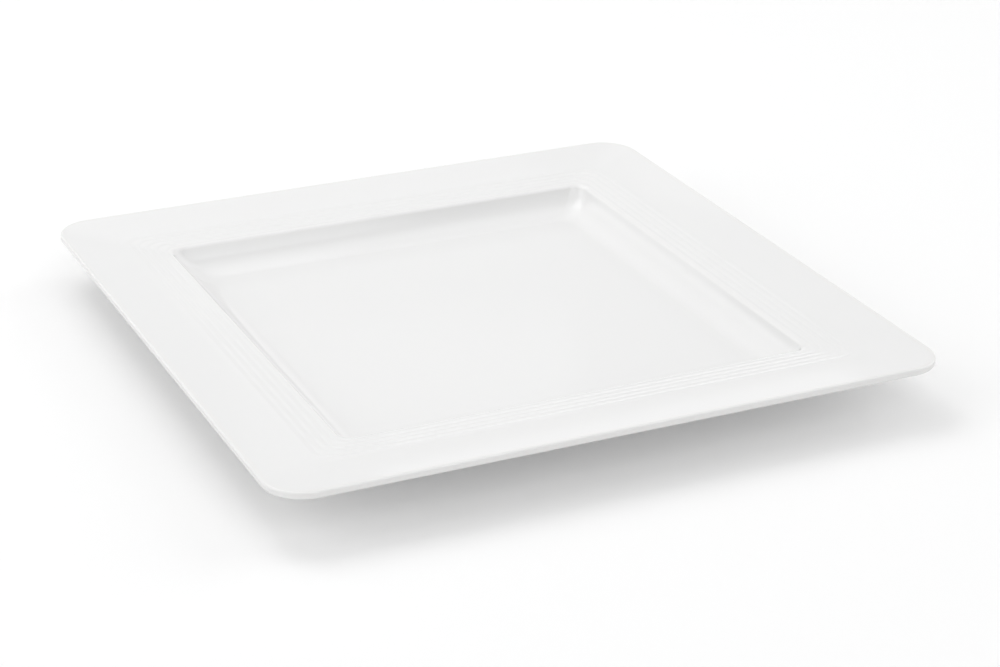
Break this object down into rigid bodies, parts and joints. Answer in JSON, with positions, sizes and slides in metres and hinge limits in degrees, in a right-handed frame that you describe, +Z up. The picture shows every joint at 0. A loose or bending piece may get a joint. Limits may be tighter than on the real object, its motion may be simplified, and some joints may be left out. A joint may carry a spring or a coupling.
{
  "type": "square breakfast plate",
  "caption": "Square white porcelain plate with a wide sloping rim, fine stepped rings round a shallow square well, rounded corners and a bare foot ring, for serving breakfast.",
  "frame": {"origin": "middle of the square that the foot ring stands on, at table level", "axes": "+Z up out of the well; X and Y along the plate's straight sides"},
  "size_m": [0.21, 0.21, 0.0182],
  "materials": {
    "bare_porcelain": "fired, unglazed, fine matt",
    "white_glaze": "clear white glaze, glossy",
    "white_base_glaze": "clear white glaze, glossy"
  },
  "bodies": {
    "root": {"porcelain_body": "bare_porcelain", "glaze_coat": "white_glaze", "base_glaze": "white_base_glaze"}
  },
  "joints": []
}
